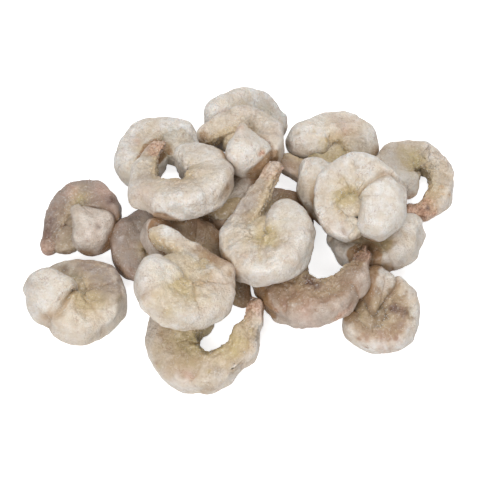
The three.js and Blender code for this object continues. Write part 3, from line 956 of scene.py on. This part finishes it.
# %% The colour of the flesh
def flesh_group():
    """Mixes flesh, tan, grey, olive, pink, dark and shell colours and the painted shade between shrimps, then
    lays frost over them. Dust, veins, grit and white ice flecks come last, as small marks of noise; the ice
    flecks are partly frost grains and partly painted glints."""
    group, given, result = new_group(
        "flesh_colour",
        {"Flesh": colour(200, 182, 160), "Deep": colour(184, 160, 134), "Frost": colour(236, 232, 226)},
        {"Colour": "Color", "Frost": "Float", "Wet": "Float"})
    n = Nodes(group)
    place = n.place()
    broad = n.noise(place, 0.011, 3)
    middle = n.noise(place, 0.004, 4, 0.6)
    small = n.noise(place, 0.0016, 3, 0.7)

    def over(tone, name, gain, shade):
        """Lays a shade over the tone where the mask is, broken up by the middle noise."""
        broken = n.span(middle, 0.3, 0.65, 0.55, gain)
        return n.mix(n.times(n.mask(name), broken, clamp=True), tone, shade)

    tone = n.mix(n.span(broad, 0.35, 0.65), given["Flesh"], given["Deep"])
    for name, gain, shade in [("tan", 1.2, (154, 125, 95)), ("grey", 1.1, (154, 141, 133)),
                              ("hollow", 0.9, (200, 180, 148)), ("olive", 1.1, (194, 176, 132)),
                              ("pink", 1.2, (200, 166, 150))]:
        tone = over(tone, name, gain, colour(*shade))
    tone = n.mix(n.times(n.mask("crease"), 0.5), tone, colour(150, 114, 84))
    spots = n.span(small, 0.35, 0.6)
    tone = over(tone, "tail", 1.1, n.mix(spots, colour(150, 108, 88), colour(210, 176, 156)))
    tone = over(tone, "shell", 1.2, n.mix(spots, colour(166, 114, 90), colour(232, 194, 166)))
    tone = over(tone, "dark", 1.2, colour(98, 70, 58))
    specks = n.times(n.span(n.cells(place, 0.0042), 0.09, 0.04), n.span(broad, 0.45, 0.62, 0, 0.75))
    tone = n.mix(specks, tone, colour(112, 74, 54))
    # painted shade between shrimps: brown laid where others lie close
    tone = over(tone, "gap_shade", 1.1, colour(150, 116, 82))

    cover = n.mask("frost")
    # frost is taken off under the colour masks, and under the painted shade between shrimps
    for name, share in {"olive": 0.5, "dark": 0.8, "shell": 0.7, "pink": 0.35, "grey": 0.35,
                        "crease": 0.4, "hollow": 0.25, "tan": 0.55, "gap_shade": 0.8}.items():
        cover = n.minus(cover, n.times(n.mask(name), share), clamp=True)
    frost = n.times(cover, n.span(middle, 0.35, 0.65, 0.62, 1.12), clamp=True)
    tone = n.mix(frost, tone, given["Frost"])

    dust = n.noise(place, 0.0009, 2)
    patch = n.span(n.noise(place, 0.005, 3), 0.42, 0.62, 0.15, 1.0)
    tone = n.mix(n.times(n.span(dust, 0.32, 0.5, 0.26, 0), patch), tone, colour(146, 118, 92))
    tone = n.mix(n.times(n.span(dust, 0.56, 0.68, 0, 0.3), patch), tone, colour(240, 237, 232))
    edge = n.math("ABSOLUTE", n.minus(n.noise(place, 0.009, 4, 0.6), 0.5), 0.0)
    vein = n.times(n.span(edge, 0.012, 0.0, 0, 0.5), n.span(n.noise(place, 0.007, 2), 0.48, 0.6))
    tone = n.mix(vein, tone, colour(150, 104, 82))
    grit = n.times(n.mask("grit"), n.span(small, 0.35, 0.6, 0.3, 0), clamp=True)
    tone = n.mix(grit, tone, colour(146, 124, 100))
    # white flecks: partly frost grains, partly painted glints
    ice = n.times(n.mask("grit"), n.span(small, 0.6, 0.68, 0, 0.4), clamp=True)
    tone = n.mix(ice, tone, colour(240, 238, 234))
    n.fill(result, {"Colour": tone, "Frost": frost, "Wet": n.span(n.noise(place, 0.006, 2), 0.45, 0.7)})
    return group

# %% The grain of the frost
def grain_group():
    """Heights of fine frost: small rounded cells plus noise, stronger where the frost is thick."""
    group, given, result = new_group("frost_grain", {"Frost": 1.0}, {"Height": "Float", "Glint": "Float"})
    n = Nodes(group)
    place = n.place()
    cells = n.minus(1.0, n.cells(place, 0.0009))
    noise = n.noise(place, 0.0007, 3, 0.7)
    broad = n.noise(place, 0.0026, 3, 0.6)
    height = n.plus(n.times(cells, 0.5), n.plus(noise, n.times(broad, 1.5)))
    height = n.times(height, n.plus(n.times(given["Frost"], 0.7), 0.35))
    n.fill(result, {"Height": height, "Glint": n.span(noise, 0.62, 0.72)})
    return group


FLESH = flesh_group()
GRAIN = grain_group()
print("node groups:", [group.name for group in bpy.data.node_groups])

# %% [markdown]
# ## The two finishes
#
# Flesh and ice let light in and give it back softly, so both finishes have some subsurface scattering.
# Frost is matt, and bare flesh under glaze is smoother and a little wet. The frosted finish is whiter. The
# bare finish is darker and browner: on 01, 03 and 13 that is their own colour, and on 04, 12 and 20, which
# lie low under others, it is partly painted shade.


# %% Materials
def finish(name, flesh, deep, frost, smooth, rough):
    """A Principled material: colour from the flesh group, bump from the grain group. Its roughness goes
    from smooth to rough with the frost, and is lower where the flesh is wet and where ice glints."""
    material = bpy.data.materials.new(name)
    material.use_nodes = True
    n = Nodes(material.node_tree)
    base = n.add("Group", {"Flesh": flesh, "Deep": deep, "Frost": frost}, node_tree=FLESH).outputs
    grain = n.add("Group", {"Frost": base["Frost"]}, node_tree=GRAIN).outputs
    relief = n.add("Bump", {"Strength": 0.8, "Distance": 0.0011, "Height": grain["Height"]})
    roughness = n.plus(n.span(base["Frost"], 0, 1, smooth, rough), n.times(base["Wet"], -0.12))
    roughness = n.minus(roughness, n.times(grain["Glint"], 0.25))
    n.fill(material.node_tree.nodes["Principled BSDF"], {
        "Base Color": base["Colour"], "Normal": relief.outputs["Normal"], "Roughness": roughness,
        "Subsurface Weight": 0.3, "Subsurface Radius": (1.0, 0.8, 0.65), "Subsurface Scale": 0.002,
        "Coat Weight": 0.35, "Coat Roughness": 0.25, "IOR": 1.35})
    return material


frosted = finish("frosted_flesh", colour(216, 199, 174), colour(190, 167, 136), colour(240, 236, 231),
                 smooth=0.36, rough=0.54)
# the bare finish is darker and browner; on the shrimps that lie low it is partly painted shade
bare_and_shaded = finish("bare_flesh", colour(172, 151, 131), colour(140, 114, 93), colour(228, 217, 206),
              smooth=0.3, rough=0.52)

# 01, 03 and 13 are browner by their own colour; 04, 12 and 20 are made brown partly as painted shade
BARE_AND_SHADED_ONES = ("01", "03", "04", "12", "13", "20")
for number, piece in pieces.items():
    in_bare_and_shaded = number in BARE_AND_SHADED_ONES
    piece.data.materials.append(bare_and_shaded if in_bare_and_shaded else frosted)
    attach(piece, "root")
    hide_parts("shrimp_" + number)
print("finishes:", frosted.name, bare_and_shaded.name)

# %% [markdown]
# ## Floor and light
#
# The heap lies on a plain white surface in very soft light. The sky gives light from all sides. A panel
# above the front gives the forms their soft shade, and a larger one above the back lights their tops. The
# floor throws light back up, and glows a little to the camera alone, so that it looks white there.

# %% Floor
HALF, UNDER = 3.0, 0.0002  # metres: half its side, and how far it is under the heap
floor_mesh = bpy.data.meshes.new("floor")
corners = [(-HALF, -HALF, -UNDER), (HALF, -HALF, -UNDER), (HALF, HALF, -UNDER), (-HALF, HALF, -UNDER)]
floor_mesh.from_pydata(corners, [], [(0, 1, 2, 3)])
floor = add_object("floor", floor_mesh)
floor_material = bpy.data.materials.new("white_surface")
floor_material.use_nodes = True
n = Nodes(floor_material.node_tree)
glow = n.times(n.add("LightPath", {}).outputs["Is Camera Ray"], 0.75)
n.fill(floor_material.node_tree.nodes["Principled BSDF"], {
    "Base Color": (0.84, 0.84, 0.84, 1), "Roughness": 0.9, "Specular IOR Level": 0.2,
    "Emission Color": (1, 1, 1, 1), "Emission Strength": glow})
floor_mesh.materials.append(floor_material)
print("floor:", floor.name)

# %% Light
world = bpy.data.worlds.new("studio")
bpy.context.scene.world = world
world.use_nodes = True
sky = world.node_tree.nodes["Background"]
Nodes(world.node_tree).fill(sky, {"Color": (1, 1, 1, 1), "Strength": 0.35})


def panel(name, place, size, power):
    """A square panel of light, in metres and watts. It is turned so that it faces the heap: yaw is the
    way to the heap on the floor, and tilt the angle to the vertical."""
    data = bpy.data.lights.new(name, "AREA")
    data.size = size
    data.energy = power
    lamp = add_object(name, data)
    lamp.location = place
    way = -np.array(place, float)
    yaw = math.atan2(way[1], way[0]) - math.pi / 2
    tilt = math.atan2(math.hypot(way[0], way[1]), -way[2])
    lamp.rotation_euler = (tilt, 0, yaw)


panel("key", (-0.3, -0.85, 0.85), size=0.5, power=9.0)
panel("top", (0.2, 0.35, 0.95), size=0.7, power=5.8)
bpy.context.scene.view_settings.view_transform = "Standard"
